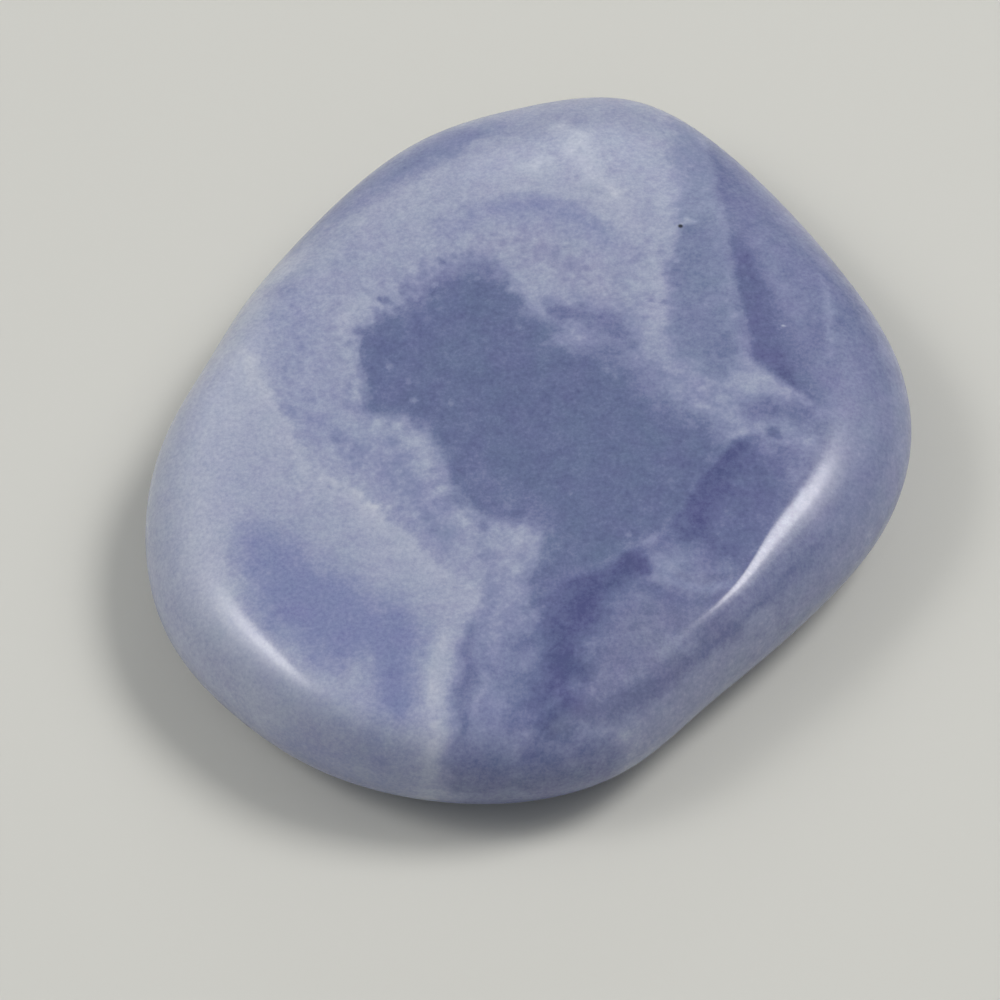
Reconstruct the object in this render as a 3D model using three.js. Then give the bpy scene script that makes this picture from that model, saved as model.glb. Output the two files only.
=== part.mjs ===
// A polished slab of blue chalcedony. It is one piece of stone, sawn flat on both faces and then tumbled
// until its edges are round. A faint edge is left where the upper face meets the rounded shoulder, which is
// broad and gentle on the far side (+Y) and narrower and steeper on the near side.
// Sizes are in millimetres and +Z is up. The origin is on the base, under the middle of the outline's box.
import * as THREE from "three";

// How thick the slab is, and how high up it is widest.
const THICKNESS = 8.5;
const WIDEST_HEIGHT = 4.1;

// The outline and the shoulder have one control value every 15 degrees, anticlockwise from +X: how far the
// outline reaches, and how wide the shoulder is between the outline and the face.
const OUTLINE_REACH = [
  21.2, 21.5, 20.9, 21.5, 23.1, 25.2, 23.0, 21.8, 19.7, 18.4, 18.2, 18.3,
  20.2, 21.6, 22.8, 22.6, 22.6, 22.0, 21.4, 20.4, 18.1, 17.8, 18.4, 20.0,
];
const SHOULDER_WIDTH = [
  5.1, 4.2, 3.2, 5.6, 9.6, 10.6, 9.0, 7.4, 6.2, 5.0, 3.9, 3.0,
  2.7, 4.5, 4.8, 3.3, 2.0, 2.8, 3.6, 3.8, 2.6, 2.2, 3.8, 4.6,
];
const BASE_EDGE_WIDTH = 3.6;

// How steeply each round edge still climbs where the face cuts it off.
const FACE_EDGE_SLOPE = Math.tan(THREE.MathUtils.degToRad(10));
const BASE_EDGE_SLOPE = Math.tan(THREE.MathUtils.degToRad(15));

// The upper face is very slightly domed: it drops by FACE_DROP at FACE_REACH from the middle.
const FACE_DROP = 0.35;
const FACE_REACH = 18;

// How finely the surface is divided.
const POINTS_PER_SPAN = 4;
const SHOULDER_RINGS = 11;
const BASE_EDGE_RINGS = 7;
const FACE_RINGS = 5;

const CHALCEDONY_COLOUR = 0x969dc6;
const CHALCEDONY_ROUGHNESS = 0.16;

// A closed cubic B-spline through one turn of control values. It runs near them, not through them.
function splineAt(values, along) {
  const span = Math.floor(along);
  const t = along - span;
  const weights = [
    (1 - t) ** 3,
    3 * t ** 3 - 6 * t ** 2 + 4,
    -3 * t ** 3 + 3 * t ** 2 + 3 * t + 1,
    t ** 3,
  ];
  const value = (i) => values[(span + i + values.length - 1) % values.length];
  return weights.reduce((sum, weight, i) => sum + (weight / 6) * value(i), 0);
}

// The outline's points, each with its shoulder's width, and the middle of their box.
function stoneOutline() {
  const spans = OUTLINE_REACH.length;
  const control = OUTLINE_REACH.map((reach, i) => {
    const angle = (i / spans) * 2 * Math.PI;
    return new THREE.Vector2(reach * Math.cos(angle), reach * Math.sin(angle));
  });
  const controlX = control.map((point) => point.x);
  const controlY = control.map((point) => point.y);
  const outline = Array.from({ length: spans * POINTS_PER_SPAN }, (_, i) => {
    const along = i / POINTS_PER_SPAN;
    const point = new THREE.Vector2(splineAt(controlX, along), splineAt(controlY, along));
    return { point, distance: point.length(), shoulder: splineAt(SHOULDER_WIDTH, along) };
  });
  const box = new THREE.Box2().setFromPoints(outline.map(({ point }) => point));
  return { outline, middle: box.getCenter(new THREE.Vector2()) };
}

// The height of the upper face at a distance from the outline's own centre.
function faceHeight(distance) {
  return THICKNESS - FACE_DROP * (distance / FACE_REACH) ** 2;
}

// A round edge is the part of a quarter ellipse, from upright, that still climbs by the given slope where it
// ends. At a share of that arc, this gives how far in it lies and its share of the climb.
function roundEdge(width, climb, slope, share) {
  const flattening = (slope * width) / climb;
  const turn = Math.acos(flattening / (1 - flattening));
  return {
    inset: (width * (1 - Math.cos(turn * share))) / (1 - Math.cos(turn)),
    climbed: Math.sin(turn * share) / Math.sin(turn),
  };
}

// The rings of the surface, from the base's flat edge up and in to the upper face.
function stoneRings({ outline, middle }) {
  const ring = (place) => outline.map((spot) => {
    const { inset, height } = place(spot);
    const { x, y } = spot.point.clone().multiplyScalar(1 - inset / spot.distance).sub(middle);
    return new THREE.Vector3(x, y, height);
  });
  const rings = [];
  for (let i = BASE_EDGE_RINGS; i > 0; i -= 1) {
    const share = i / BASE_EDGE_RINGS;
    const { inset, climbed } = roundEdge(BASE_EDGE_WIDTH, WIDEST_HEIGHT, BASE_EDGE_SLOPE, share);
    rings.push(ring(() => ({ inset, height: WIDEST_HEIGHT * (1 - climbed) })));
  }
  for (let i = 0; i <= SHOULDER_RINGS; i += 1) {
    rings.push(ring(({ distance, shoulder }) => {
      const climb = faceHeight(distance - shoulder) - WIDEST_HEIGHT;
      const { inset, climbed } = roundEdge(shoulder, climb, FACE_EDGE_SLOPE, i / SHOULDER_RINGS);
      return { inset, height: WIDEST_HEIGHT + climb * climbed };
    }));
  }
  for (let i = FACE_RINGS - 1; i > 0; i -= 1) {
    rings.push(ring(({ distance, shoulder }) => {
      const reach = (distance - shoulder) * (i / FACE_RINGS);
      return { inset: distance - reach, height: faceHeight(reach) };
    }));
  }
  return rings;
}

// Joins the rings to each other, and closes them with a flat fan below and a shallow one above.
function closedSurface(rings, lowest, highest) {
  const count = rings[0].length;
  const points = [lowest, ...rings.flat(), highest];
  const last = points.length - 1;
  const at = (ring, i) => 1 + ring * count + (i % count);
  const faces = [];
  for (let i = 0; i < count; i += 1) {
    faces.push(0, at(0, i + 1), at(0, i));
    for (let ring = 0; ring < rings.length - 1; ring += 1) {
      faces.push(at(ring, i), at(ring, i + 1), at(ring + 1, i + 1));
      faces.push(at(ring, i), at(ring + 1, i + 1), at(ring + 1, i));
    }
    faces.push(at(rings.length - 1, i), at(rings.length - 1, i + 1), last);
  }
  const geometry = new THREE.BufferGeometry().setFromPoints(points);
  geometry.setIndex(faces);
  geometry.computeVertexNormals();
  return geometry;
}

function chalcedonySlab() {
  const form = stoneOutline();
  const { x, y } = form.middle;
  const lowest = new THREE.Vector3(-x, -y, 0);
  const highest = new THREE.Vector3(-x, -y, THICKNESS);
  const material = new THREE.MeshStandardMaterial({
    color: CHALCEDONY_COLOUR,
    roughness: CHALCEDONY_ROUGHNESS,
    metalness: 0,
  });
  const mesh = new THREE.Mesh(closedSurface(stoneRings(form), lowest, highest), material);
  mesh.name = "chalcedony_slab";
  return mesh;
}

const stone = new THREE.Group();
stone.add(chalcedonySlab());

export default stone;
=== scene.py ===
"""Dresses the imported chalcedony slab: a fine polished surface, and a procedural material with its clouded
bands. Lengths named here are in millimetres, and those given to Blender are in metres."""
import math
from collections import namedtuple

import bpy
import numpy as np
from mathutils import Matrix, Vector, noise


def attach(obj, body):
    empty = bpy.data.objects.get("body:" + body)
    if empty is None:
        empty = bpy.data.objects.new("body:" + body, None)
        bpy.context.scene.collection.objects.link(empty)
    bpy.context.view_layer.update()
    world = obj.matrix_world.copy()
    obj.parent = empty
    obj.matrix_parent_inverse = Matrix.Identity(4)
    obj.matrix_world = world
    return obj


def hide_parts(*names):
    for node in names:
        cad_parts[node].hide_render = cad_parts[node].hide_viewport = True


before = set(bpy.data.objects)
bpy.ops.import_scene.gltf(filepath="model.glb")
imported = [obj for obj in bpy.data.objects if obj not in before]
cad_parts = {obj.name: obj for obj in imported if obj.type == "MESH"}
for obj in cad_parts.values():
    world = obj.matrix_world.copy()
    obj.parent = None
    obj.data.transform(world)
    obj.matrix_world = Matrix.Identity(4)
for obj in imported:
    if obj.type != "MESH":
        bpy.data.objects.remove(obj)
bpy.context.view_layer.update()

# One millimetre in Blender's metres.
MM = 0.001

# The stone's form, with the same driving values as the solid.
THICKNESS = 8.5
WIDEST_HEIGHT = 4.1
OUTLINE_REACH = [
    21.2, 21.5, 20.9, 21.5, 23.1, 25.2, 23.0, 21.8, 19.7, 18.4, 18.2, 18.3,
    20.2, 21.6, 22.8, 22.6, 22.6, 22.0, 21.4, 20.4, 18.1, 17.8, 18.4, 20.0,
]
SHOULDER_WIDTH = [
    5.1, 4.2, 3.2, 5.6, 9.6, 10.6, 9.0, 7.4, 6.2, 5.0, 3.9, 3.0,
    2.7, 4.5, 4.8, 3.3, 2.0, 2.8, 3.6, 3.8, 2.6, 2.2, 3.8, 4.6,
]
BASE_EDGE_WIDTH = 3.6
FACE_EDGE_SLOPE = math.tan(math.radians(10))
BASE_EDGE_SLOPE = math.tan(math.radians(15))
FACE_DROP = 0.35
FACE_REACH = 18

# What the solid leaves out: how far the tumbling has rounded over the edge of the face, given like the
# outline, and the share of the way from the middle of the face to its edge over which this sets in.
FACE_EDGE_SOFTNESS = [
    0.8, 1.2, 1.6, 2.0, 2.0, 2.0, 2.0, 2.0, 2.0, 1.6, 1.6, 1.2,
    0.6, 0.2, 0.2, 0.2, 0.4, 2.5, 4.0, 4.0, 0.8, 0, 0, 0.6,
]
SOFTENING_STARTS = 0.2
SOFTENING_IS_FULL = 0.7

# How finely the dressed surface is divided: columns around it, rings, and how far apart the points of a ring
# may be before it needs all its columns. The whole is kept a hair inside the solid's box.
COLUMNS_PER_SPAN = 30
SHOULDER_RINGS = 54
BASE_EDGE_RINGS = 14
FACE_RINGS = 100
BASE_RINGS = 34
FACE_SPACING = 0.2
BASE_SPACING = 0.6
MOST_SKIPPED = 16
INSIDE_THE_BOX = 0.9995

# The polish follows the stone's grain, so the surface rolls very slightly. It is only ever cut lower.
ROLL_DEPTH = 0.03
ROLL_LENGTH = 6

# Below this height the pattern wanders off the one seen from above, by up to this much at the base.
PATTERN_TURNS_BELOW = 3.6
PATTERN_DRIFT = 3.5
PATTERN_DRIFT_LENGTH = 9

# The noise in the pattern: how wide its coarsest lumps are, and how strongly they show. WANDER is how far the
# pattern strays. The edges of markings are ragged, and clouds, lumps and flecks change their tone.
WANDER_LENGTH = 2.4
WANDER = 0.3
RAGGED_LENGTH = 1.2
CLOUD_LENGTH = 2.6
CLOUD_TONE = 0.05
LUMP_LENGTH = 0.9
LUMP_TONE = 0.11
FLECK_LENGTH = 0.35
FLECK_TONE = 0.11
VIOLET_LENGTH = 1.6
VIOLET_STRENGTH = 0.8

# The camera, at the photograph's viewing angle.
CAMERA_TARGET = (-1.61, -1.58, 0)
CAMERA_AZIMUTH_DEGREES = -1.55
CAMERA_ELEVATION_DEGREES = 57.59
CAMERA_ROLL_DEGREES = 0.99
CAMERA_DISTANCE = 314.2
CAMERA_LENS = 206.6
CAMERA_SENSOR = 36
CAMERA_NEAREST = 10
CAMERA_FARTHEST = 10000

# The floor, which reaches this far to each side, and the faint light from all around.
FLOOR_REACH = 1000
FLOOR_COLOUR = (205, 205, 199)
FLOOR_ROUGHNESS = 0.8
WORLD_COLOUR = (0.92, 0.96, 1, 1)
WORLD_STRENGTH = 0.2

SCREEN_GAMMA = 2.2


def linear(red, green, blue):
    """A colour given in 0 to 255 as a screen shows it, as Blender's own linear values."""
    return tuple((c / 255) ** SCREEN_GAMMA for c in (red, green, blue)) + (1,)


def spline_at(values, along):
    """A closed cubic B-spline through one turn of control values, at places counted in spans."""
    values = np.asarray(values, float)
    span = np.floor(along).astype(int)
    t = along - span
    weights = [(1 - t) ** 3, 3 * t**3 - 6 * t**2 + 4, -3 * t**3 + 3 * t**2 + 3 * t + 1, t**3]
    return sum(w / 6 * values[(span + i - 1) % len(values)] for i, w in enumerate(weights))


def round_edge(width, climb, slope, share):
    """How far in a round edge lies and its share of the climb, at a share of its arc."""
    flattening = slope * width / climb
    turn = np.arccos(flattening / (1 - flattening))
    inset = width * (1 - np.cos(turn * share)) / (1 - np.cos(turn))
    return inset, np.sin(turn * share) / np.sin(turn)


def face_height(distance):
    """The height of the upper face at a distance from the outline's own centre."""
    return THICKNESS - FACE_DROP * (distance / FACE_REACH) ** 2


def stone_rings():
    """The rings of the surface from the middle of the base, out and up, and in to the middle of the face.
    A small ring skips columns, so that its points lie no closer than they need to."""
    spans = len(OUTLINE_REACH)
    angles = np.arange(spans) / spans * 2 * math.pi
    columns = spans * COLUMNS_PER_SPAN
    along = np.arange(columns) / COLUMNS_PER_SPAN
    x = spline_at(OUTLINE_REACH * np.cos(angles), along)
    y = spline_at(OUTLINE_REACH * np.sin(angles), along)
    shoulder = spline_at(SHOULDER_WIDTH, along)
    softness = spline_at(FACE_EDGE_SOFTNESS, along) * FACE_EDGE_SLOPE
    distance = np.hypot(x, y)
    middle = np.array([x.min() + x.max(), y.min() + y.max()]) / 2

    def ring(inset, height, skip=1):
        keep = 1 - inset / distance
        places = np.stack([x * keep - middle[0], y * keep - middle[1], height + 0 * x], -1)
        return places[::skip]

    def softened(reach, below_face):
        """The height of a point so far below the face's own curve, once the face's edge is rounded over."""
        rounding = softness * step_between(SOFTENING_STARTS, SOFTENING_IS_FULL, reach / (distance - shoulder))
        return face_height(reach) - (below_face + np.hypot(below_face, rounding)) / 2

    def flat_part(edge, count, spacing, height_at):
        rings = []
        skip = 1
        for i in range(count - 1, 0, -1):
            reach = edge * i / count
            if skip < MOST_SKIPPED and reach.mean() * 2 * math.pi / columns * skip * 2 < spacing:
                skip *= 2
            rings.append(ring(distance - reach, height_at(reach), skip))
        return rings

    rings = flat_part(distance - BASE_EDGE_WIDTH, BASE_RINGS, BASE_SPACING, np.zeros_like)[::-1]
    for i in range(BASE_EDGE_RINGS, 0, -1):
        inset, climbed = round_edge(BASE_EDGE_WIDTH, WIDEST_HEIGHT, BASE_EDGE_SLOPE, i / BASE_EDGE_RINGS)
        rings.append(ring(inset, WIDEST_HEIGHT * (1 - climbed)))
    climb = face_height(distance - shoulder) - WIDEST_HEIGHT
    for i in range(SHOULDER_RINGS + 1):
        inset, climbed = round_edge(shoulder, climb, FACE_EDGE_SLOPE, i / SHOULDER_RINGS)
        reach = distance - inset
        height = WIDEST_HEIGHT + climb * climbed
        rings.append(ring(inset, softened(reach, face_height(reach) - height)))
    edge = distance - shoulder
    rings += flat_part(edge, FACE_RINGS, FACE_SPACING,
                       lambda reach: softened(reach, (reach - edge) * FACE_EDGE_SLOPE))
    return rings, middle


def band_between(low, high):
    """The faces between two rings of points. One ring may have twice as many points as the other."""
    faces = []
    if len(low) == len(high):
        for i in range(len(low)):
            j = (i + 1) % len(low)
            faces.append((low[i], low[j], high[j], high[i]))
    elif len(low) > len(high):
        for i in range(len(high)):
            a, b, c = low[2 * i], low[2 * i + 1], low[(2 * i + 2) % len(low)]
            d, e = high[i], high[(i + 1) % len(high)]
            faces += [(a, b, d), (b, e, d), (b, c, e)]
    else:
        for i in range(len(low)):
            a, b = low[i], low[(i + 1) % len(low)]
            c, d, e = high[2 * i], high[2 * i + 1], high[(2 * i + 2) % len(high)]
            faces += [(a, d, c), (a, b, d), (b, e, d)]
    return faces


def stone_surface():
    """The surface's points in millimetres, and its faces."""
    rings, middle = stone_rings()
    points = np.concatenate([[[-middle[0], -middle[1], 0]], *rings, [[-middle[0], -middle[1], THICKNESS]]])
    last = len(points) - 1
    numbers = np.split(np.arange(1, last), np.cumsum([len(ring) for ring in rings])[:-1])
    numbers = [ring.tolist() for ring in numbers]
    faces = []
    lowest, highest = numbers[0], numbers[-1]
    for i in range(len(lowest)):
        faces.append((0, lowest[(i + 1) % len(lowest)], lowest[i]))
    for low, high in zip(numbers, numbers[1:]):
        faces += band_between(low, high)
    for i in range(len(highest)):
        faces.append((highest[i], highest[(i + 1) % len(highest)], last))
    return points, faces


# How far apart one seed's noise and the next's are read, how strong the noise is, and for each finer octave
# how much weaker it is and how far on its seed is.
SEED_STEP = (17.3, 5.1, 11.7)
NOISE_STRENGTH = 0.9
OCTAVE_FADE = 1.7
OCTAVE_SEED_STEP = 7


def noise_at(places, length, seed):
    """Smooth noise from about -0.5 to 0.5 whose lumps are about length across."""
    offset = Vector([seed * step for step in SEED_STEP])
    values = [noise.noise(Vector(place) / length + offset) for place in places.tolist()]
    return np.array(values) * NOISE_STRENGTH


def lumps_at(places, length, seed, octaves=3):
    """Noise with finer lumps on the coarse ones."""
    total = np.zeros(len(places))
    for octave in range(octaves):
        finer = noise_at(places, length / 2**octave, seed + octave * OCTAVE_SEED_STEP)
        total += finer / OCTAVE_FADE**octave
    return total


def step_between(low, high, values):
    """A smooth step from 0 at low to 1 at high."""
    share = np.clip((values - low) / (high - low), 0, 1)
    return share * share * (3 - 2 * share)


def smooth_line(points, closed=False, steps=6):
    """A Catmull-Rom curve through points that may hold further values beside x and y."""
    points = np.asarray(points, float)
    if closed:
        points = np.concatenate([points[-1:], points, points[:2]])
    else:
        points = np.concatenate([2 * points[:1] - points[1:2], points, 2 * points[-1:] - points[-2:-1]])
    a, b, c, d = points[:-3], points[1:-2], points[2:-1], points[3:]
    parts = []
    for t in np.arange(steps) / steps:
        parts.append(b + (c - a) * t / 2 + (a - 2.5 * b + 2 * c - d / 2) * t**2
                     + (1.5 * b - 1.5 * c + d / 2 - a / 2) * t**3)
    line = np.stack(parts, 1).reshape(-1, points.shape[1])
    return line if closed else np.concatenate([line, points[-2:-1]])


def nearest_on_line(places, line):
    """For each place: how far the line is, on which side (1 is the left), and the line's further values."""
    start, along = line[:-1], np.diff(line, axis=0)
    best = np.full(len(places), np.inf)
    side = np.ones(len(places))
    values = np.zeros((len(places), line.shape[1] - 2))
    for s, v in zip(start, along):
        offset = places - s[:2]
        share = np.clip(offset @ v[:2] / max(v[:2] @ v[:2], 1e-9), 0, 1)
        gap = offset - share[:, None] * v[:2]
        far = np.hypot(gap[:, 0], gap[:, 1])
        closer = far < best
        best = np.where(closer, far, best)
        side = np.where(closer, np.sign(v[0] * offset[:, 1] - v[1] * offset[:, 0]), side)
        values[closer] = (s[2:] + share[:, None] * v[2:])[closer]
    return best, side, values


def inside_outline(places, outline):
    """Which of the places lie inside a closed outline."""
    inside = np.zeros(len(places), bool)
    x, y = places.T
    for (x0, y0), (x1, y1) in zip(outline, np.roll(outline, -1, axis=0)):
        if y0 != y1:
            crosses = (y0 > y) != (y1 > y)
            inside ^= crosses & (x < (x1 - x0) * (y - y0) / (y1 - y0) + x0)
    return inside


# The markings, as they lie on the stone seen from above. Each is painted over those before it, and gives its
# tone (0 is the deepest slate, 1 the whitest lace), how violet and how rich its colour is, how clouded it is,
# and how soft or crisp and how ragged its edge is.
#   A wash is a soft stroke: points of x, y and half its width.
#   A patch is an area with a ragged edge: points of x and y around it.
#   A ridge is crisp along its line and fades away on the line's left: points of x, y, strength and fade.
Wash = namedtuple("Wash", "tone violet rich cloud blur path")
Patch = namedtuple("Patch", "tone violet rich cloud blur ragged outline")
Ridge = namedtuple("Ridge", "tone violet rich cloud crisp ragged path")

# The tone, violet, richness and cloud of the stone where nothing is painted.
PLAIN_STONE = (0.62, 0, 0, 0.5)

# How ragged a wash's edge is for its blur, how uneven a ridge is and how fast it fades, and the shares of a
# speck's radius between which it fades out.
WASH_RAGGED = 0.5
RIDGE_UNEVEN = 0.5
RIDGE_FADING = 1.2
SPECK_EDGE = (0.4, 1.3)

GROUND = [
    # The pale left side and its rim.
    Wash(0.76, 0, 0.1, 0.3, 2.5, [
        (-14.5, 7.5, 2.2), (-17.5, 1, 3), (-18.5, -6, 3.2), (-17, -12, 2.6), (-13, -17.5, 1.6)]),
    Wash(0.81, 0, 0, 0.5, 1.6, [(-14.5, 7.2, 1.8), (-12.5, 9.6, 1.0)]),
    Wash(0.63, 0, 0.1, 0.3, 2.2, [(-13.5, -5.5, 1.8), (-9.5, -9, 1.8), (-6.5, -11.5, 1.2)]),
    # Lavender between the pale left side and the slate.
    Wash(0.60, 0.1, 0.2, 0.7, 1.4, [
        (-12.8, 6.5, 1.4), (-12.4, 3, 1.8), (-12, 0, 1.6), (-10.8, -2.6, 1.8), (-7.8, -4.8, 1.4),
        (-5.6, -7.6, 1.0)]),
    # The upper left: a pale band inside a dark one along the rim.
    Wash(0.66, 0, 0, 0.7, 1.8, [(-10.5, 9, 1.4), (-7, 10.7, 1.8), (-3, 12, 1.8), (0.5, 9.8, 1.4)]),
    Wash(0.44, 0, 0.2, 0.4, 0.9, [
        (-12.8, 11.2, 0.2), (-9.8, 14.3, 0.9), (-6.5, 16.5, 1.2), (-3.8, 18, 1.1), (-1.5, 18.8, 0.5)]),
    # The pale top: partly the stone's own pale bands and partly a painted soft reflection of the light from
    # behind on the far shoulder.
    Wash(0.62, 0, -0.2, 0.5, 2.2, [(-0.5, 17.5, 0.8), (3, 20, 2.2), (7, 20.3, 1.2)]),
    Wash(0.61, 0, -0.2, 0.8, 1.2, [(0, 15, 1.0), (2.8, 17.6, 1.8), (4.2, 14.4, 1.8), (5.4, 12.5, 1.0)]),
    Wash(0.74, 0, -0.1, 0.9, 0.5, [(-0.4, 14.7, 0.1), (0.4, 15.5, 0.4), (1.3, 16.2, 0.4)]),
    Wash(0.76, 0, -0.1, 1.0, 0.6, [
        (2.1, 18.8, 0.3), (2.6, 17.3, 0.8), (3.4, 15.7, 0.6), (4.5, 13.6, 0.8), (5.2, 12.5, 0.3)]),
    Wash(0.70, 0, 0, 0.8, 0.8, [(7.3, 18.9, 0.4), (7.2, 17, 0.5)]),
    Wash(0.60, 0.1, 0, 0.8, 0.6, [(1.4, 17.6, 0.3), (1.6, 16.6, 0.2)]),
    Wash(0.64, 0, 0, 0.7, 1.3, [(6.4, 15.5, 0.9), (6.3, 11.5, 1.2)]),
    Wash(0.54, 0, 0, 0.7, 1.3, [(6.2, 9.5, 0.7), (6.1, 8, 0.8), (5.6, 6.5, 0.9), (6.1, 4.7, 0.5)]),
    Wash(0.60, 0.5, -0.2, 1.0, 1.4, [(-2.5, 9.4, 0.8), (0.5, 9.2, 1.2)]),
    Wash(0.56, 0.4, -0.2, 1.0, 1.4, [(1.4, 8.6, 0.8), (3.0, 7.6, 1.2), (4.4, 6.2, 0.7)]),
    Wash(0.53, 0.2, 0.3, 0.5, 1.2, [
        (-4.5, 10.8, 0.2), (-2, 11.9, 0.7), (0.8, 12.2, 0.9), (3.0, 11.4, 0.8), (4.2, 10.2, 0.3)]),
    # The right side, with its grainy blue band and the rim beyond the dark one.
    Wash(0.39, 0.2, 0, 0.5, 2.0, [
        (10.5, 18.5, 0.8), (13, 13, 1.8), (15.6, 8, 2.0), (17.8, 2, 2.8), (18, -4, 2.4)]),
    Wash(0.48, -0.4, 0, 0.6, 0.7, [(9.2, 19.5, 0.9), (9.3, 15, 1.2), (9.2, 12, 1.2)]),
    Wash(0.38, -0.5, 0, 0.7, 0.7, [(9.4, 13, 1.1), (9.3, 9, 1.6), (9.3, 4, 1.9), (9.8, 2, 1.6)]),
    Wash(0.52, 0, 0, 1.0, 1.4, [(6.3, 1.8, 0.3), (7.8, 0.2, 1.2), (9.6, -0.7, 1.3), (11.3, -1.2, 0.7)]),
    Wash(0.30, 0.2, 0, 0.5, 1.2, [(16.3, 10.2, 0.5), (17.3, 7.2, 0.8), (18.4, 4.4, 0.5)]),
    Wash(0.29, 0.2, 0, 0.8, 0.9, [(12.6, -1.4, 1.0), (14.3, -1.6, 0.8)]),
    # The lower right, greyer and streaked along the rim.
    Wash(0.28, 0.4, -0.4, 0.8, 2.2, [
        (3.5, -17.5, 1.8), (7, -14.8, 2.6), (11, -12, 2.2), (15, -8, 2.0), (17, -4, 1.2)]),
    Wash(0.45, 0.1, -0.1, 0.5, 1.0, [
        (11.5, -13.4, 0.7), (15, -9.6, 0.9), (17.6, -5.4, 1.1), (18.8, -1, 1.4)]),
    Wash(0.22, 0.2, 0, 0.6, 1.4, [(12.8, -4.8, 1.4), (11.5, -8, 1.6), (10.5, -10, 1.2)]),
    # The lower left, with its lavender patch and the pale wing below it.
    Wash(0.46, 0.1, 0.5, 0.1, 1.8, [
        (-14.8, -9.0, 0.8), (-12.6, -12.3, 2.4), (-9.6, -14.4, 2.4), (-7.3, -15.4, 1.8), (-7.2, -18.2, 1.2)]),
    Wash(0.43, 0.3, 0.5, 0.2, 1.0, [(-6.9, -13.8, 0.3), (-7.3, -16, 0.6), (-7.6, -19, 0.5)]),
    Ridge(0.68, 0, 0.2, 0.2, 0.4, 0.2, [
        (-14.6, -17.2, 0.5, 1.0), (-12.4, -18.9, 0.8, 1.0), (-10.4, -19.8, 0.8, 1.0), (-9.0, -19.9, 0.9, 1.0),
        (-8.8, -18.6, 0.9, 0.8), (-8.8, -17.2, 0.8, 0.6), (-8.9, -15.8, 0.4, 0.5)]),
    Wash(0.44, 0, 0.1, 0.7, 1.0, [(-2.2, -13.5, 0.8), (-2.5, -17, 1.5), (-2.6, -22, 1.7)]),
    # The near rim on the lower left, lighter and lavender: partly the stone's own colour and partly painted
    # light glowing through the thin edge.
    Wash(0.57, 0.3, 0.5, 0.3, 0.8, [(-13.5, -19.3, 0.2), (-9.5, -21, 0.5), (-6, -22.2, 0.5)]),
]

BANDS = [
    # The crisp line where the lower left is palest, up the middle of the near side and on to the left.
    Ridge(0.74, 0, 0, 0.6, 0.35, 0.4, [
        (-5.6, -22.6, 1.0, 0.9), (-4.9, -20.5, 1.0, 1.0), (-4.6, -18.5, 1.0, 1.1), (-4.1, -16.2, 1.0, 1.2),
        (-3.5, -14.2, 1.0, 1.3), (-3.1, -12.7, 0.9, 2.0), (-3.9, -11.7, 0.9, 2.6), (-5.1, -10.8, 0.9, 2.8),
        (-6.2, -9.6, 0.9, 2.8), (-7.1, -8.2, 0.9, 2.6), (-8.2, -7.1, 0.8, 2.6), (-9.8, -6.2, 0.8, 2.8),
        (-11.5, -5.0, 0.8, 3.2), (-12.6, -3.2, 0.8, 3.2), (-13.3, -0.8, 0.8, 3.0), (-14.1, 0.8, 0.9, 2.4),
        (-14.7, 2.2, 0.9, 2.0), (-15.7, 3.3, 0.8, 1.8), (-17.4, 3.7, 0.6, 1.2)]),
    Ridge(0.79, 0, -0.1, 1.8, 0.25, 0.6, [
        (-3.0, -12.6, 0.4, 0.4), (-5.1, -10.8, 0.5, 0.4), (-6.2, -9.6, 0.6, 0.4), (-7.1, -8.2, 0.7, 0.5),
        (-8.2, -7.1, 0.8, 0.5), (-9.8, -6.2, 0.6, 0.5), (-11.5, -5.0, 0.6, 0.4), (-12.6, -3.2, 0.3, 0.4)]),
    Ridge(0.85, 0, 0, 0.5, 0.35, 0.35, [
        (-13.0, -2.2, 0.2, 1.6), (-13.6, -0.6, 0.6, 1.8), (-14.2, 0.8, 0.8, 1.8), (-14.8, 2.2, 0.9, 1.8),
        (-15.7, 3.2, 0.8, 1.5), (-17.4, 3.7, 0.4, 1.0)]),
    Wash(0.80, 0, 0, 0.6, 0.5, [
        (-4.6, -14.6, 0.1), (-4.9, -16.5, 0.35), (-5.3, -19, 0.35), (-5.6, -21.6, 0.2)]),
    # The arc above the middle, and the light border inside the dark rim band.
    Ridge(0.80, 0, -0.1, 0.6, 0.25, 0.25, [
        (-4.5, 12.2, 0.0, 0.6), (-2.3, 13.0, 0.3, 0.7), (-0.4, 13.5, 0.8, 0.7), (1.7, 13.1, 0.9, 0.8),
        (3.5, 12.2, 0.8, 0.9), (5.0, 11.0, 0.5, 0.9), (5.7, 10.2, 0.2, 0.8)]),
    Ridge(0.74, 0, 0, 0.5, 0.4, 0.3, [
        (-0.5, 18.4, 0.3, 1.2), (-2.9, 17.5, 0.7, 1.4), (-5, 15.3, 0.8, 1.6), (-8.3, 13.1, 0.7, 1.6),
        (-10.6, 11.6, 0.5, 1.0)]),
    # The right border of the pale band on the upper right.
    Ridge(0.71, 0, 0, 1.0, 0.35, 0.35, [
        (6.6, 3.2, 0.4, 0.8), (7.0, 4.6, 0.8, 1.0), (6.9, 5.4, 0.8, 1.2), (7.4, 7.2, 0.8, 1.5),
        (7.8, 9.5, 0.8, 1.8), (7.8, 12, 0.7, 1.8), (7.6, 15, 0.6, 1.6), (8.2, 17.5, 0.7, 1.6),
        (8.3, 19.5, 0.3, 1.6)]),
]

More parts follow.
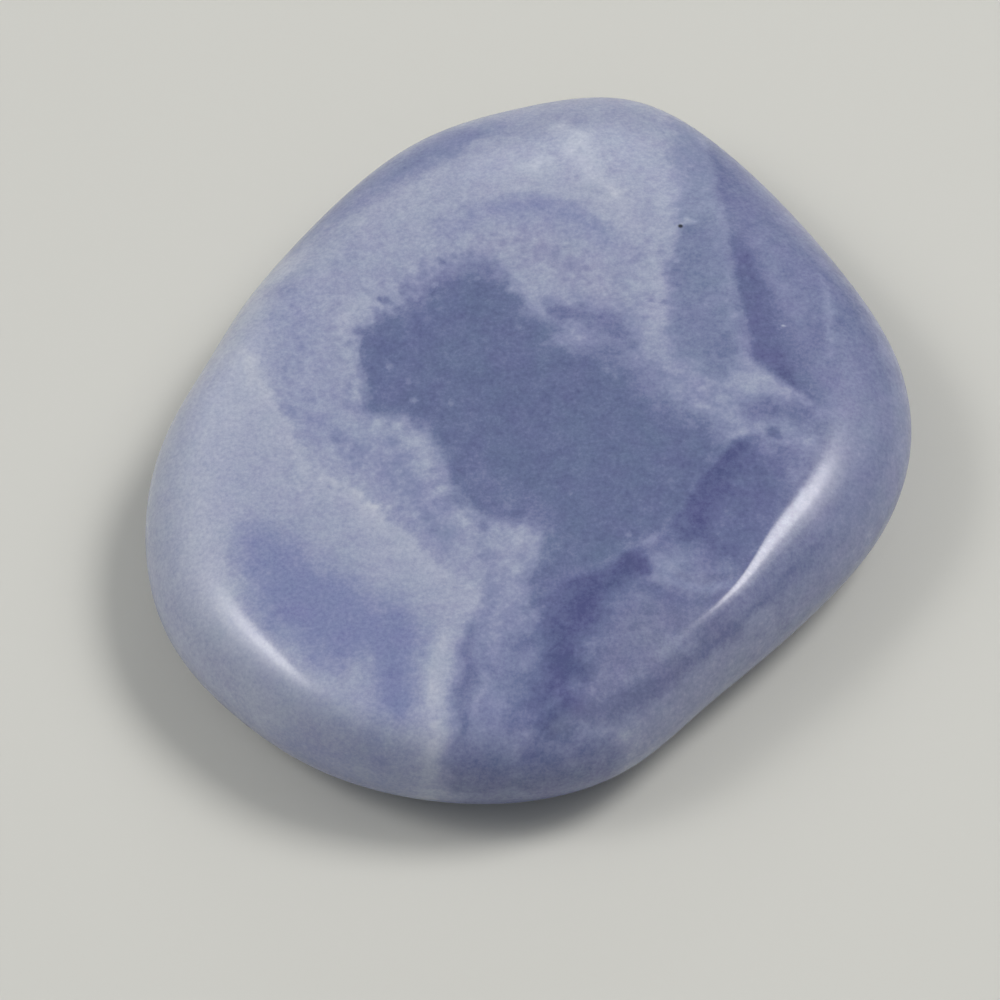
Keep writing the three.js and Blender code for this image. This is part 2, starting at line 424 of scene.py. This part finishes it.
DEPTHS = [
    # The slate heart of the stone, with softer stretches where it meets the pale bands.
    Patch(0.21, -0.5, 0, 0.6, 0.9, 0.8, [
        (-9.2, -1.2), (-9.2, 0.6), (-9.3, 2.0), (-9.6, 3.1), (-9.2, 3.9), (-8.2, 4.6), (-7.2, 5.2),
        (-6.5, 5.8), (-5.9, 6.3), (-5.6, 7.2), (-4.6, 8.0), (-3.4, 8.4), (-2.2, 8.2), (-1.4, 7.3),
        (-0.6, 6.2), (0.2, 5.3), (1.2, 4.4), (2.4, 3.2), (4.2, 2.4), (5.3, 1.2), (6.1, 0.0), (7.6, -1.4),
        (9.2, -2.2), (10.4, -3.0), (9.6, -4.8), (8.5, -6.3), (7.8, -7.4), (6.8, -8.8), (5.8, -9.8),
        (4.9, -10.2), (3.4, -11.1), (1.0, -12.4), (-0.4, -12.9), (-0.5, -11.6), (0.2, -10.2),
        (0.4, -9.0), (-0.6, -8.4), (-1.8, -8.3), (-3.2, -7.8), (-4.2, -6.6), (-4.7, -5.4), (-4.8, -4.4),
        (-5.6, -2.9), (-6.6, -1.9), (-7.8, -1.6)]),
    Wash(0.25, -0.1, 0.1, 0.8, 1.6, [(-8, 0.5, 0.6), (-7.5, 3, 0.8), (-5, 5.5, 0.6)]),
    Wash(0.33, 0.2, 0, 0.9, 1.3, [(-6.3, 6.6, 0.4), (-5, 7.4, 0.7), (-3.2, 8.2, 0.6), (-1.6, 8.2, 0.2)]),
    Wash(0.34, 0, 0, 1.0, 0.7, [(-9.2, 3.6, 0.1), (-8.2, 4.8, 0.2), (-7, 5.4, 0.2)]),
    Wash(0.30, 0.1, 0, 0.9, 0.8, [(1.2, 5.3, 0.4), (3.2, 4.8, 1.0), (5.0, 3.2, 0.9)]),
    Wash(0.36, -0.2, 0, 0.9, 1.4, [(3, 3.2, 0.2), (5.6, 1.4, 0.4), (7.2, -0.9, 0.4), (9.8, -2.4, 0.3)]),
    Wash(0.54, 0, 0, 0.9, 0.3, [(2.2, 4.5, 0.2), (2.6, 3.9, 0.4), (2.7, 3.2, 0.15)]),
    Wash(0.50, 0, 0, 0.9, 0.3, [(2.9, 4.5, 0.1), (2.7, 3.9, 0.2)]),
    Wash(0.28, 0, 0, 1.0, 1.2, [(-3.6, -5.2, 0.6), (-2, -7, 0.8), (0.2, -8, 0.6)]),
    Wash(0.50, 0, 0.1, 0.8, 0.9, [
        (-10.0, -3.2, 0.3), (-9.0, -4.0, 0.9), (-7.2, -5.2, 1.0), (-5.6, -7.8, 0.8), (-4.4, -9.4, 0.5)]),
    Wash(0.42, 0.1, 0.1, 0.8, 0.4, [(-10.7, -2.8, 0.1), (-10.2, -3.3, 0.2)]),
    Wash(0.44, -0.2, 0, 0.8, 0.5, [(-5.2, -8.6, 0.1), (-4.7, -9.1, 0.3)]),
    # The lace along the slate's left borders.
    Ridge(0.64, 0, 0, 1.0, 0.4, 0.6, [
        (-1.7, -13.8, 0.3, 0.4), (-1.0, -12.4, 0.7, 0.6), (-0.6, -11.3, 0.9, 0.9), (0.2, -10.2, 1.0, 1.2),
        (0.4, -9.0, 1.0, 1.5), (-0.6, -8.4, 1.0, 1.5), (-2.0, -8.3, 0.9, 1.2), (-3.3, -7.8, 0.8, 0.9),
        (-4.2, -6.7, 0.8, 0.7), (-4.7, -5.4, 0.9, 0.8), (-4.9, -4.4, 0.9, 0.9), (-5.7, -2.9, 0.9, 1.0),
        (-6.7, -1.9, 1.0, 0.9), (-8.8, -1.5, 0.9, 0.5)]),
    Wash(0.46, 0, 0, 0.9, 0.8, [(-3.0, -9.6, 0.3), (-2.4, -10.8, 0.5), (-2.2, -12.4, 0.3)]),
    Wash(0.36, 0, 0, 0.9, 0.5, [(-4.8, -6.6, 0.1), (-3.9, -7.1, 0.25)]),
    Wash(0.36, 0, 0, 0.9, 0.5, [(-2.9, -8.0, 0.1), (-2.7, -8.9, 0.25)]),
    Ridge(0.72, 0, 0, 1.0, 0.45, 0.6, [
        (-9.2, -1.2, 0.5, 0.6), (-9.2, 0.6, 0.7, 0.6), (-9.4, 2.0, 0.8, 0.7), (-9.8, 3.2, 0.8, 0.8),
        (-9.3, 4.2, 1.0, 1.5), (-8.3, 4.9, 0.9, 1.5), (-7.2, 5.5, 0.7, 1.2), (-6.4, 6.2, 0.5, 1.0),
        (-5.8, 7.2, 0.4, 0.8), (-4.6, 8.1, 0.4, 0.8), (-3.2, 8.6, 0.3, 0.9), (-1.4, 8.3, 0.2, 0.9)]),
    # The violet wedges below the slate's straight border.
    Ridge(0.09, 0.3, 0.1, 0.6, 0.3, 0.15, [
        (12.4, -2.8, 0.2, 2.0), (11.3, -3.1, 0.8, 3.0), (10.2, -4.1, 0.9, 3.4), (8.6, -6.1, 1.0, 3.6),
        (7.9, -7.3, 1.0, 3.4), (6.8, -8.8, 1.0, 2.6), (5.9, -9.8, 0.6, 1.2), (4.9, -10.3, 1.0, 2.2),
        (3.4, -11.2, 1.0, 2.4), (1.0, -12.5, 0.9, 2.4), (-0.2, -13.0, 0.3, 1.6)]),
    Wash(0.07, 0.3, 0.1, 0.6, 1.2, [(10.8, -4.4, 0.5), (9.4, -6.4, 0.9), (8.6, -8.6, 0.8)]),
    Wash(0.20, 0, 0.1, 0.7, 1.6, [(1.5, -12.8, 0.6), (0.6, -16, 1.4), (0.2, -20, 1.4)]),
    # The near rim below the wedges, a little lighter: partly the stone's own colour and partly painted light
    # glowing through the thin edge.
    Wash(0.32, 0.2, 0.2, 0.6, 0.8, [(-4, -22, 0.4), (0, -22, 0.7), (4, -21, 0.5)]),
    Wash(0.02, 0.3, 0.1, 0.5, 1.3, [
        (5.2, -11.1, 0.4), (3.4, -12.4, 0.7), (2.1, -14.6, 0.9), (1.5, -17.4, 0.8), (1.0, -20, 0.5)]),
    # The dark band on the right.
    Ridge(0.10, 0.3, 0, 0.5, 0.35, 0.2, [
        (10.2, 19, 0.3, 1.4), (10.4, 16, 0.6, 1.6), (10.6, 12.5, 0.7, 1.8), (11.0, 9, 0.9, 2.0),
        (11.2, 7, 1.0, 2.0), (11.5, 5, 1.0, 2.4), (12.1, 3, 1.0, 3.6), (12.8, 1.4, 1.0, 4.0),
        (13.9, 0.3, 1.0, 3.0), (15.2, -0.5, 0.7, 1.4), (15.9, -1.0, 0.2, 1.0)]),
    Wash(0.16, 0.3, 0, 0.5, 0.8, [(11.7, 11, 0.1), (11.9, 9, 0.4), (12.3, 5, 0.8), (12.9, 2.5, 1.0)]),
]

DETAILS = [
    # Wisps beside the wedges.
    Wash(0.43, 0, 0, 0.8, 0.25, [
        (6.0, -10.0, 0.1), (6.8, -11.1, 0.25), (7.8, -12.0, 0.3), (9.0, -12.3, 0.25), (10.6, -11.8, 0.15)]),
    Wash(0.38, 0, 0, 0.8, 0.25, [
        (6.4, -9.9, 0.1), (7.8, -10.7, 0.2), (9.3, -11.2, 0.2), (10.8, -11.0, 0.1)]),
    Wash(0.20, 0.5, 0, 0.6, 0.8, [(5.8, -12.1, 0.3), (7.2, -12.9, 0.4), (9, -13.2, 0.2)]),
    Wash(0.02, 0.3, 0, 0.6, 0.4, [(4.8, -10.6, 0.3), (5.6, -11.0, 0.6)]),
    # A thin line of lace just left of the slate.
    Wash(0.72, 0, 0, 1.0, 0.3, [
        (-9.4, -0.6, 0.05), (-9.5, 1.2, 0.15), (-9.9, 2.6, 0.2), (-10.2, 3.7, 0.3), (-9.9, 4.8, 0.5)]),
    # Thin light lines along the slate's straight border and the dark band, and a painted highlight along the
    # crease on the right.
    Wash(0.29, -0.3, 0, 0.5, 0.2, [
        (10.6, -3.4, 0.05), (8.5, -6.1, 0.06), (7.7, -7.3, 0.06), (5.2, -9.9, 0.06)]),
    Wash(0.44, 0, 0, 0.5, 0.25, [
        (10.2, 17, 0.05), (10.5, 13, 0.1), (10.9, 9, 0.1), (11.3, 6, 0.08), (11.9, 3.4, 0.05)]),
    Wash(0.58, 0, 0, 0.5, 0.3, [(-0.3, 6.3, 0.05), (0.3, 5.5, 0.3), (0.9, 4.9, 0.15)]),
    # A painted highlight: the faint glint of the right lamps along the crease at the face's right edge.
    Wash(0.54, 0.1, 0, 0.5, 0.4, [(15.9, 8, 0.05), (16.3, 5.5, 0.2), (16.3, 2.5, 0.1)]),
    # Pale and dark streaks that run to the near side.
    Wash(0.60, 0.1, 0.2, 0.4, 0.35, [(-8.6, -15.8, 0.1), (-8.8, -17.6, 0.2), (-8.6, -19.4, 0.2)]),
    Wash(0.55, 0, 0, 0.9, 0.35, [(-1.9, -13.2, 0.1), (-2.1, -15.2, 0.25), (-2.3, -17, 0.1)]),
    Wash(0.50, 0, 0, 0.9, 0.4, [(-2.8, -17.6, 0.1), (-3.1, -19.2, 0.25), (-3.2, -21, 0.1)]),
    Wash(0.50, 0, 0, 0.9, 0.3, [(-0.6, -13.0, 0.2), (-0.4, -13.8, 0.2)]),
    Wash(0.28, 0.1, 0, 0.9, 0.4, [
        (-3.2, -14.5, 0.1), (-3.4, -16.7, 0.25), (-3.8, -19.3, 0.3), (-3.9, -21, 0.1)]),
    Wash(0.20, 0.2, -0.3, 0.5, 0.6, [
        (11.4, -13.4, 0.1), (8.4, -16.1, 0.3), (4.8, -18.5, 0.5), (1, -20.2, 0.2)]),
    Wash(0.47, 0.2, -0.2, 0.5, 0.6, [(12.4, -13.1, 0.3), (9.2, -16.4, 0.5), (5.8, -19.3, 0.3)]),
    Wash(0.30, 0.1, -0.5, 0.7, 0.9, [(5.6, -14.8, 0.3), (6.8, -16, 0.6), (7.4, -16.8, 0.3)]),
    Wash(0.27, 0.2, -0.1, 0.5, 0.35, [
        (15.9, -8.2, 0.05), (13.4, -11.2, 0.15), (10.6, -14.2, 0.15), (8.8, -15.9, 0.05)]),
]

# The one pit in the face, and its radius. The surface has no hollow there: the pit's darkness is painted
# shade.
PIT = (8.36, 11.05)
PIT_RADIUS = 0.12

# Small marks: points of x, y, radius and tone.
SPECKS = [
    (-7.8, 6.0, 0.30, 0.35), (-7.5, 5.8, 0.18, 0.4), (-6.5, 5.9, 0.30, 0.32), (-6.1, 5.7, 0.25, 0.3),
    (-4.7, 8.5, 0.25, 0.35), (-4.1, 8.9, 0.25, 0.45), (-4.9, 8.8, 0.15, 0.45), (1.4, 8.9, 0.4, 0.5),
    (2.2, 8.2, 0.4, 0.48), (2.7, 8.0, 0.3, 0.5), (3.1, 8.1, 0.2, 0.42), (0.9, 9.4, 0.3, 0.52),
    (12.9, -2.6, 0.42, 0.2), (13.2, -2.9, 0.25, 0.24), (8.7, 11.5, 0.3, 0.6),
    (9.1, 11.4, 0.2, 0.58), (8.2, 12.4, 0.2, 0.58), (13.7, 4.25, 0.1, 0.8), (-7.0, -18.7, 0.09, 0.9),
    (-7.6, 1.6, 0.28, 0.42), (-6.6, 0.6, 0.2, 0.36), (-4.3, -0.8, 0.2, 0.4), (5.0, -9.1, 0.22, 0.4),
    (2.0, -6.6, 0.15, 0.36), (-6.3, -0.6, 0.25, 0.42), (-0.6, 4.1, 0.2, 0.36), (6.6, 5.9, 0.2, 0.45),
    (0.9, -1.4, 0.12, 0.08), (10.6, -4.6, 0.2, 0.1), (-10.8, -5.9, 0.15, 0.55), (7.6, 18.6, 0.12, 0.45),
    (2.9, 16.8, 0.12, 0.55), (3.7, 15.2, 0.1, 0.55), (4.3, 14.1, 0.12, 0.5), (1.5, 17.2, 0.1, 0.58),
    (-8.1, 6.1, 0.2, 0.3), (-6.9, 6.5, 0.2, 0.36), (-5.8, 6.1, 0.22, 0.28), (-7.2, 5.4, 0.25, 0.3),
    (-3.6, 9.0, 0.15, 0.48), (-8.7, 7.2, 0.35, 0.68), (-7.6, 7.0, 0.3, 0.68), (-6.3, 8.1, 0.35, 0.7),
    (-5.1, 7.0, 0.18, 0.5), (-9.0, 6.0, 0.5, 0.72), (-2.8, 7.4, 0.15, 0.42), (-1.9, 10.4, 0.2, 0.5),
    (8.2, 13.8, 0.25, 0.62), (8.0, 10.2, 0.25, 0.6), (8.1, 8.6, 0.2, 0.58), (7.8, 6.6, 0.22, 0.58),
    (8.4, 15.3, 0.2, 0.6), (7.2, 9.2, 0.2, 0.5), (7.3, 5.8, 0.22, 0.45), (5.5, 5.3, 0.2, 0.5),
    (-8.3, -2.0, 0.3, 0.72), (-7.2, -2.2, 0.3, 0.72), (-6.2, -3.2, 0.3, 0.72), (-5.6, -4.6, 0.3, 0.74),
    (-4.9, -6.2, 0.25, 0.7), (-3.6, -8.3, 0.3, 0.72), (-0.8, -9.4, 0.35, 0.74), (-1.0, -11.2, 0.3, 0.7),
    (-7.4, -3.2, 0.4, 0.48), (-6.7, -4.2, 0.35, 0.5), (-2.8, -9.6, 0.25, 0.48), (-5.2, -7.0, 0.2, 0.46),
]


def paint(values, cover, mark):
    """Covers the values by the mark's own, as far as cover says for each place."""
    values += cover[:, None] * (np.array([mark.tone, mark.violet, mark.rich, mark.cloud]) - values)


def paint_markings(places, ragged):
    """The tone, violet, richness and cloud at each place. ragged is the noise that makes edges uneven."""
    values = np.tile(PLAIN_STONE, (len(places), 1))
    for mark in GROUND + BANDS + DEPTHS + DETAILS:
        if isinstance(mark, Patch):
            line = smooth_line(mark.outline, closed=True)
            far, _, _ = nearest_on_line(places, np.concatenate([line, line[:1]]))
            depth = np.where(inside_outline(places, line), far, -far) + mark.ragged * ragged
            cover = step_between(-mark.blur, mark.blur, depth)
        elif isinstance(mark, Wash):
            far, _, (half,) = unpack_line(places, mark)
            away = far + WASH_RAGGED * mark.blur * ragged
            cover = 1 - step_between(half - mark.blur, half + mark.blur, away)
        else:
            far, side, (strength, fade) = unpack_line(places, mark)
            depth = far * side + mark.ragged * ragged
            cover = strength * step_between(-mark.crisp, mark.crisp, depth)
            cover *= np.exp(-np.maximum(depth, 0) / fade * RIDGE_FADING) * (1 + RIDGE_UNEVEN * ragged)
        paint(values, np.clip(cover, 0, 1), mark)
    return values


def unpack_line(places, mark):
    """How far the mark's line is from each place, on which side, and the line's further values there."""
    far, side, values = nearest_on_line(places, smooth_line(mark.path))
    return far, side, values.T


def surface_fields(points):
    """The tone, violet, richness and cloud at the surface's points, with noise and specks in them."""
    depth = np.clip(1 - points[:, 2] / PATTERN_TURNS_BELOW, 0, 1)[:, None]
    drift = np.stack([lumps_at(points, PATTERN_DRIFT_LENGTH, seed) for seed in (1, 2)], -1)
    places = points[:, :2] + drift * 2 * PATTERN_DRIFT * depth
    wander = np.stack([lumps_at(points, WANDER_LENGTH, seed, octaves=4) for seed in (3, 4)], -1)
    places = places + WANDER * wander
    ragged = lumps_at(points, RAGGED_LENGTH, seed=5, octaves=4)
    values = paint_markings(places, ragged)
    clouds = lumps_at(points, CLOUD_LENGTH, seed=6, octaves=2)
    lumps = lumps_at(points, LUMP_LENGTH, seed=7, octaves=2)
    flecks = noise_at(points, FLECK_LENGTH, seed=8)
    values[:, 0] += values[:, 3] * (CLOUD_TONE * clouds + LUMP_TONE * lumps + FLECK_TONE * flecks)
    values[:, 1] += VIOLET_STRENGTH * lumps_at(points, VIOLET_LENGTH, seed=10, octaves=2)
    for x, y, radius, tone in SPECKS:
        far = np.hypot(points[:, 0] - x, points[:, 1] - y) / radius
        cover = (1 - step_between(*SPECK_EDGE, far)) * (points[:, 2] > WIDEST_HEIGHT)
        values[:, 0] += cover * (tone - values[:, 0])
    return values


def make_camera():
    azimuth = math.radians(CAMERA_AZIMUTH_DEGREES)
    elevation = math.radians(CAMERA_ELEVATION_DEGREES)
    back = Vector((
        math.sin(azimuth) * math.cos(elevation),
        -math.cos(azimuth) * math.cos(elevation),
        math.sin(elevation),
    ))
    camera = bpy.data.objects.new("camera", bpy.data.cameras.new("camera"))
    camera.data.lens = CAMERA_LENS
    camera.data.sensor_width = CAMERA_SENSOR
    camera.data.clip_start = CAMERA_NEAREST * MM
    camera.data.clip_end = CAMERA_FARTHEST * MM
    roll = Matrix.Rotation(math.radians(CAMERA_ROLL_DEGREES), 4, "Z")
    turn = back.to_track_quat("Z", "Y").to_matrix().to_4x4() @ roll
    camera.matrix_world = Matrix.Translation((Vector(CAMERA_TARGET) + back * CAMERA_DISTANCE) * MM) @ turn
    bpy.context.scene.collection.objects.link(camera)
    bpy.context.scene.camera = camera


# The studio lamps, round and soft: where each stands as seen from the stone, in degrees clockwise from +Y
# and above the floor, how wide it is, its power in watts and its colour. All stand LAMP_DISTANCE away. Each
# softbox is brightest in the middle and dims towards its edge, so it is several lamps almost in one place.
LAMP_DISTANCE = 900
LAMPS = {
    "left_softbox_middle": (-85, 51, 240, 0.85, (1, 0.98, 0.96)),
    "left_softbox": (-89, 47, 410, 1.0, (1, 0.98, 0.96)),
    "left_softbox_edge": (-84, 49, 700, 0.7, (1, 0.98, 0.97)),
    "left_softbox_front": (-84, 48, 1000, 0.5, (1, 0.99, 0.98)),
    "right_softbox_middle": (64, 59, 310, 2.7, (1, 0.98, 0.96)),
    "right_softbox": (74, 54, 420, 1.3, (1, 0.98, 0.96)),
    "right_softbox_edge": (72, 52, 650, 0.45, (1, 0.98, 0.97)),
    "right_softbox_front": (64, 54, 900, 0.4, (1, 0.99, 0.98)),
    "back_window": (5, 26, 280, 0.3, (0.95, 0.98, 1)),
    "near_side_fill": (180, 45, 1000, 0.5, (0.97, 0.98, 1)),
}


def make_lamp(name, azimuth, elevation, width, watts, colour):
    azimuth, elevation = math.radians(azimuth), math.radians(elevation)
    away = Vector((
        math.sin(azimuth) * math.cos(elevation),
        math.cos(azimuth) * math.cos(elevation),
        math.sin(elevation),
    ))
    lamp = bpy.data.lights.new(name, "AREA")
    lamp.shape = "DISK"
    lamp.size = width * MM
    lamp.energy = watts
    lamp.color = colour
    stand = bpy.data.objects.new(name, lamp)
    stand.matrix_world = (Matrix.Translation(away * LAMP_DISTANCE * MM)
                          @ away.to_track_quat("Z", "Y").to_matrix().to_4x4())
    bpy.context.scene.collection.objects.link(stand)


def add_node(tree, kind, inputs=None, **settings):
    """A new node, with some of its inputs set to a value or joined to another node's output."""
    node = tree.nodes.new(kind)
    for name, value in settings.items():
        setattr(node, name, value)
    for key, value in (inputs or {}).items():
        if isinstance(value, bpy.types.NodeSocket):
            tree.links.new(value, node.inputs[key])
        else:
            node.inputs[key].default_value = value
    return node


# The stone's colours from its deepest slate to its whitest lace.
TONE_COLOURS = [
    (0.0, (84, 90, 131)),
    (0.25, (108, 116, 153)),
    (0.5, (137, 144, 176)),
    (0.75, (168, 174, 195)),
    (1.0, (200, 205, 214)),
]

# The fine grain, in lumps a millimetre, and how much it changes the tone.
GRAIN_SCALE = 4.5
GRAIN_DETAIL = 3
GRAIN_ROUGHNESS = 0.75
GRAIN_RANGE = (0.2, 0.8)
GRAIN_TONE = 0.14

# The hue and saturation where violet and rich are -1 and where they are 1.
VIOLET_HUES = (0.488, 0.512)
RICH_SATURATIONS = (0.7, 1.3)

# The shares of the pit's radius between which its painted shade ends, and how bright the painted shade is
# inside.
PIT_EDGE = (0.7, 1.5)
PIT_SHADE_BRIGHTNESS = 0.1

# The polish, and how light spreads just below it.
POLISH_ROUGHNESS = 0.2
SUBSURFACE_WEIGHT = 0.35
SUBSURFACE_RADIUS = (1, 1, 1.2)
SUBSURFACE_SCALE = 1.5


def chalcedony_material(pit):
    """The stone's material, with painted shade inside the pit. pit is the place of the pit, in millimetres.
    """
    material = bpy.data.materials.new("chalcedony")
    material.use_nodes = True
    tree = material.node_tree
    shader = tree.nodes["Principled BSDF"]
    place = add_node(tree, "ShaderNodeVectorMath", {
        0: add_node(tree, "ShaderNodeTexCoord").outputs["Object"],
        1: (1 / MM, 1 / MM, 1 / MM),
    }, operation="MULTIPLY").outputs[0]
    tone = add_node(tree, "ShaderNodeAttribute", attribute_name="tone").outputs["Fac"]
    violet = add_node(tree, "ShaderNodeAttribute", attribute_name="violet").outputs["Fac"]
    rich = add_node(tree, "ShaderNodeAttribute", attribute_name="rich").outputs["Fac"]
    grain = add_node(tree, "ShaderNodeTexNoise", {
        "Vector": place, "Scale": GRAIN_SCALE, "Detail": GRAIN_DETAIL, "Roughness": GRAIN_ROUGHNESS,
    }).outputs["Fac"]
    grain_tone = add_node(tree, "ShaderNodeMapRange", {
        "Value": grain,
        "From Min": GRAIN_RANGE[0], "From Max": GRAIN_RANGE[1],
        "To Min": -GRAIN_TONE, "To Max": GRAIN_TONE,
    }).outputs[0]
    full_tone = add_node(tree, "ShaderNodeMath", {0: tone, 1: grain_tone}, operation="ADD").outputs[0]
    # The pit is painted dark inside: painted shade standing in for a hollow that the surface doesn't have.
    from_pit = add_node(tree, "ShaderNodeVectorMath", {0: place, 1: pit}, operation="DISTANCE")
    pit_shade = add_node(tree, "ShaderNodeMapRange", {
        "Value": from_pit.outputs["Value"],
        "From Min": PIT_EDGE[0] * PIT_RADIUS, "From Max": PIT_EDGE[1] * PIT_RADIUS,
        "To Min": PIT_SHADE_BRIGHTNESS, "To Max": 1,
    }).outputs[0]
    ramp = add_node(tree, "ShaderNodeValToRGB", {"Fac": full_tone})
    elements = ramp.color_ramp.elements
    while len(elements) < len(TONE_COLOURS):
        elements.new(0.5)
    for element, (position, colour) in zip(elements, TONE_COLOURS):
        element.position = position
        element.color = linear(*colour)
    hue = add_node(tree, "ShaderNodeMapRange", {
        "Value": violet,
        "From Min": -1, "From Max": 1,
        "To Min": VIOLET_HUES[0], "To Max": VIOLET_HUES[1],
    }, clamp=False).outputs[0]
    saturation = add_node(tree, "ShaderNodeMapRange", {
        "Value": rich,
        "From Min": -1, "From Max": 1,
        "To Min": RICH_SATURATIONS[0], "To Max": RICH_SATURATIONS[1],
    }, clamp=False).outputs[0]
    colour = add_node(tree, "ShaderNodeHueSaturation", {
        "Color": ramp.outputs["Color"], "Hue": hue, "Saturation": saturation, "Value": pit_shade,
    }).outputs[0]
    tree.links.new(colour, shader.inputs["Base Color"])
    shader.inputs["Roughness"].default_value = POLISH_ROUGHNESS
    shader.inputs["Subsurface Weight"].default_value = SUBSURFACE_WEIGHT
    shader.inputs["Subsurface Radius"].default_value = SUBSURFACE_RADIUS
    shader.inputs["Subsurface Scale"].default_value = SUBSURFACE_SCALE * MM
    return material


def make_stone():
    points, faces = stone_surface()
    roll = noise_at(points, ROLL_LENGTH, seed=9)
    fields = surface_fields(points)
    lowered = points * [INSIDE_THE_BOX, INSIDE_THE_BOX, 1]
    lowered[:, 2] -= ROLL_DEPTH * (roll + 0.5) * step_between(WIDEST_HEIGHT, THICKNESS, points[:, 2])
    from_pit = np.hypot(lowered[:, 0] - PIT[0], lowered[:, 1] - PIT[1])
    nearest = np.argmin(np.where(lowered[:, 2] > WIDEST_HEIGHT, from_pit, np.inf))
    mesh = bpy.data.meshes.new("chalcedony")
    mesh.from_pydata((lowered * MM).tolist(), [], faces)
    mesh.shade_smooth()
    for name, field in zip(("tone", "violet", "rich"), fields.T):
        mesh.attributes.new(name, "FLOAT", "POINT").data.foreach_set("value", field.astype(np.float32))
    stone = bpy.data.objects.new("chalcedony_stone", mesh)
    bpy.context.scene.collection.objects.link(stone)
    mesh.materials.append(chalcedony_material((*PIT, lowered[nearest, 2])))
    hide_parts("chalcedony_slab")
    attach(stone, "root")


def make_floor():
    mesh = bpy.data.meshes.new("floor")
    corners = [(-FLOOR_REACH, -FLOOR_REACH), (FLOOR_REACH, -FLOOR_REACH), (FLOOR_REACH, FLOOR_REACH),
               (-FLOOR_REACH, FLOOR_REACH)]
    mesh.from_pydata([(x * MM, y * MM, 0) for x, y in corners], [], [(0, 1, 2, 3)])
    material = bpy.data.materials.new("floor")
    material.use_nodes = True
    shader = material.node_tree.nodes["Principled BSDF"]
    shader.inputs["Base Color"].default_value = linear(*FLOOR_COLOUR)
    shader.inputs["Roughness"].default_value = FLOOR_ROUGHNESS
    mesh.materials.append(material)
    floor = bpy.data.objects.new("floor", mesh)
    bpy.context.scene.collection.objects.link(floor)


def make_world():
    world = bpy.data.worlds.new("world")
    bpy.context.scene.world = world
    world.use_nodes = True
    background = world.node_tree.nodes["Background"]
    background.inputs["Color"].default_value = WORLD_COLOUR
    background.inputs["Strength"].default_value = WORLD_STRENGTH
    bpy.context.scene.view_settings.view_transform = "Standard"


make_camera()
make_stone()
make_floor()
make_world()
for lamp_name, lamp_values in LAMPS.items():
    make_lamp(lamp_name, *lamp_values)
